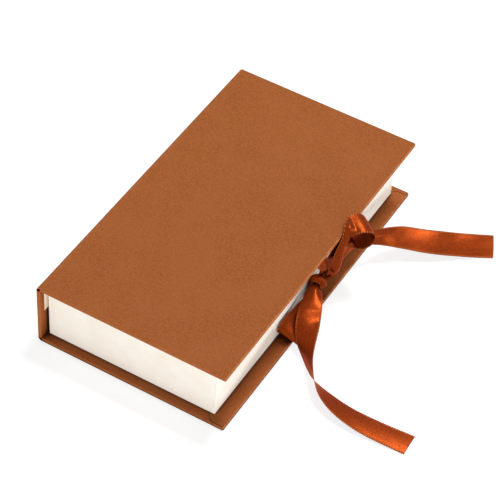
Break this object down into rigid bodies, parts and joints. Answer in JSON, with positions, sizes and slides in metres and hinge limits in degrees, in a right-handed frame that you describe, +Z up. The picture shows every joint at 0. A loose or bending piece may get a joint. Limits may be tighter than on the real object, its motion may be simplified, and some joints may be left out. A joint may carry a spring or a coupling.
{
  "type": "book-style gift box",
  "caption": "Book-shaped rigid gift box: a hinged case in textured brown paper round a shallow cream tray, tied shut at the fore-edge with satin ribbon.",
  "frame": {"origin": "centre of the back cover's outer face, which lies on the table", "axes": "+Z up through the closed box to the front cover, +X from the spine to the fore-edge where the ribbons tie, +Y along the spine"},
  "size_m": [0.2147, 0.22, 0.048],
  "materials": {
    "cover_paper": "matt brown wrapping paper with a fine mottled grain",
    "greyboard": "bare grey board",
    "tray_paper": "smooth cream paper",
    "liner_paper": "smooth pale cream liner paper",
    "corner_tape": "gummed paper tape",
    "satin_ribbon": "rust-brown satin with woven selvedges"
  },
  "bodies": {
    "base": {"back_cover_board": "greyboard", "back_cover_wrap": "cover_paper", "lower_hinge_lining": "cover_paper", "tray_floor_board": "greyboard", "tray_spine_wall": "greyboard", "tray_fore_edge_wall": "greyboard", "tray_near_wall": "greyboard", "tray_far_wall": "greyboard", "tray_corner_tapes": "corner_tape", "tray_wrap": "tray_paper", "tray_floor_liner": "liner_paper", "base_ribbon": "satin_ribbon"},
    "spine": {"spine_board": "greyboard", "spine_wrap": "cover_paper", "spine_lining": "cover_paper", "spine_liner": "liner_paper"},
    "front_cover": {"front_cover_board": "greyboard", "front_cover_wrap": "cover_paper", "front_cover_liner": "liner_paper", "cover_ribbon": "satin_ribbon"}
  },
  "joints": [
    {"name": "spine_hinge", "type": "hinge", "parent": "base", "child": "spine", "pos_m": [-0.06071, 0, 0.00079], "axis": [0, -1, 0], "range_deg": [0, 90]},
    {"name": "cover_hinge", "type": "hinge", "parent": "spine", "child": "front_cover", "pos_m": [-0.06071, 0, 0.04321], "axis": [0, -1, 0], "range_deg": [0, 90], "deforming": ["cover_ribbon"]}
  ]
}
